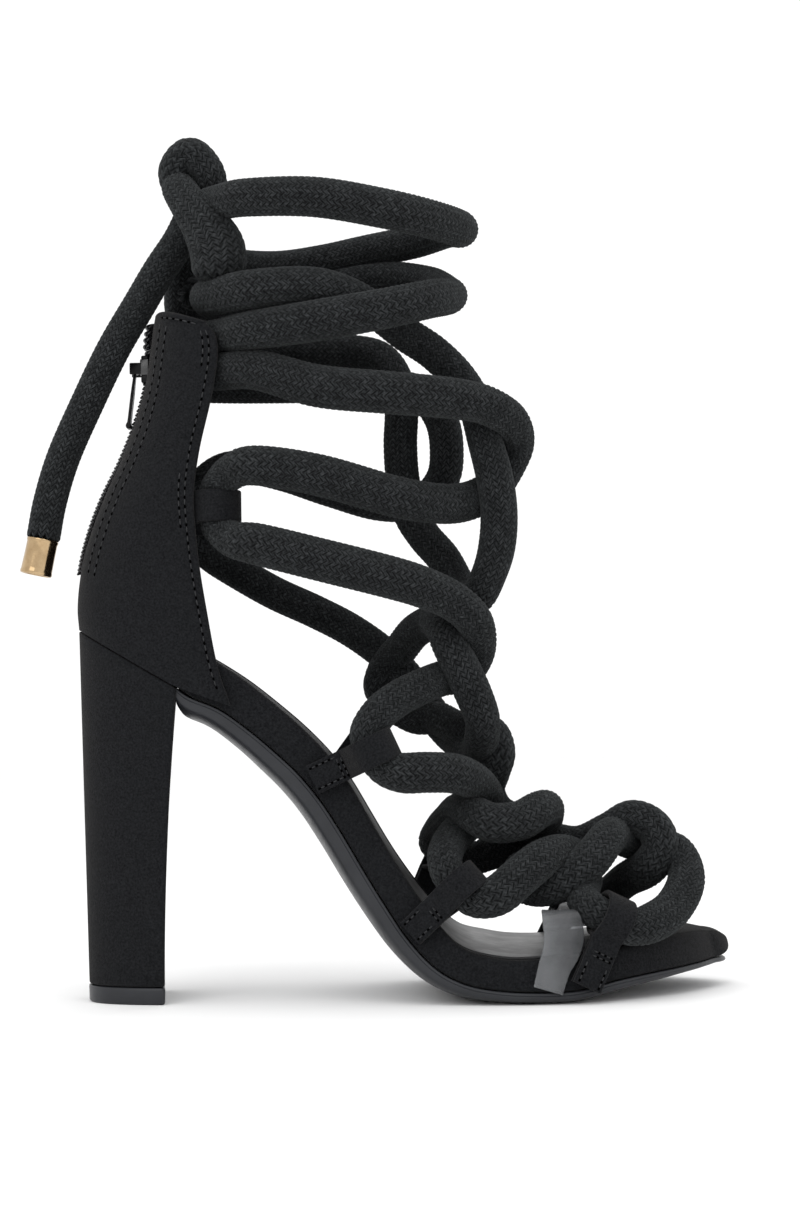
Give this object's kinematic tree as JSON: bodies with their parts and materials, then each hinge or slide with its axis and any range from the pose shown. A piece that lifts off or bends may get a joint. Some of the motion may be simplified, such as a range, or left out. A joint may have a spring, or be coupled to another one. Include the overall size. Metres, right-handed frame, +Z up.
{
  "type": "rope lace-up block-heel sandal",
  "caption": "Right women's sandal with a tall block heel, a curved platform sole, a zipped heel counter and an upper of thick cotton rope laced through loop tabs and knotted at the ankle.",
  "frame": {"origin": "centre of the heel's bottom face, on the floor", "axes": "+X from the heel towards the toe, +Y towards the inner side of the foot, +Z up"},
  "size_m": [0.2122, 0.0843, 0.2609],
  "materials": {
    "suede": "matt black synthetic suede",
    "rope_cotton": "black braided cotton",
    "sole_rubber": "smooth dark grey, slightly glossy",
    "sock_lining": "glossy black sock lining",
    "zip_nylon": "black woven tape and coil",
    "black_metal": "black lacquer",
    "clear_vinyl": "clear, glossy",
    "gold_metal": "polished gold colour"
  },
  "bodies": {
    "shoe": {"heel_lift": "sole_rubber", "heel_block": "suede", "outsole": "sole_rubber", "platform": "suede", "insole": "sock_lining", "counter": "suede", "zip_chain": "zip_nylon", "zip_slider": "black_metal", "tab_near_1": "suede", "tab_near_2": "suede", "tab_near_3": "suede", "tab_near_4": "suede", "tab_far_1": "suede", "tab_far_2": "suede", "tab_far_3": "suede", "tab_far_4": "suede", "toe_strap": "clear_vinyl", "rope_upper": "rope_cotton", "rope_knot": "rope_cotton", "rope_free_end": "rope_cotton", "rope_tip": "gold_metal"},
    "pull": {"zip_pull": "black_metal"}
  },
  "joints": [
    {"name": "pull_hinge", "type": "hinge", "parent": "shoe", "child": "pull", "pos_m": [0.0029, 0, 0.1915], "axis": [0, 1, 0], "range_deg": [0, 95]}
  ]
}
